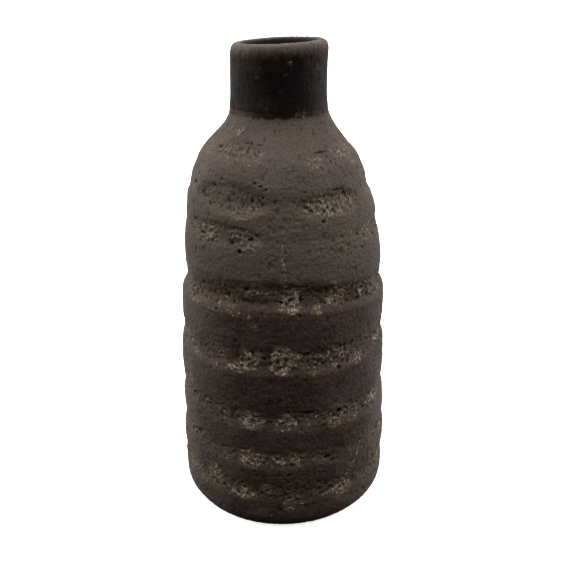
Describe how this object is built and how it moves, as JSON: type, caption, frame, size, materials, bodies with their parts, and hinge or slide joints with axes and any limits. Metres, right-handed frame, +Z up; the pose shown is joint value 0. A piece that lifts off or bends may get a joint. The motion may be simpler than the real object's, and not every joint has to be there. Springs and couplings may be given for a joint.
{
  "type": "pottery vase",
  "caption": "Tall bottle-shaped stoneware vase with a rough banded body, rounded shoulder and narrow open neck, for stems.",
  "frame": {"origin": "centre of the flat foot, on the surface that the vase stands on", "axes": "+Z up along the vase's axis, out of the mouth; -Y faces the viewer of the most worn side"},
  "size_m": [0.1386, 0.1386, 0.3],
  "materials": {
    "dark_slip_stoneware": "matt dark brown slip, worn pale in the rough joints",
    "bare_stoneware": "unglazed dark stoneware"
  },
  "bodies": {
    "root": {"base_slab": "bare_stoneware", "base_inner_coil": "bare_stoneware", "foot_course": "dark_slip_stoneware", "wall_course_1": "dark_slip_stoneware", "wall_course_2": "dark_slip_stoneware", "wall_course_3": "dark_slip_stoneware", "wall_course_4": "dark_slip_stoneware", "shoulder_course_1": "dark_slip_stoneware", "shoulder_course_2": "dark_slip_stoneware", "shoulder_course_3": "dark_slip_stoneware", "shoulder_cap": "dark_slip_stoneware", "neck_fillet_coil": "dark_slip_stoneware", "neck_collar": "dark_slip_stoneware", "lip_roll": "dark_slip_stoneware"}
  },
  "joints": []
}
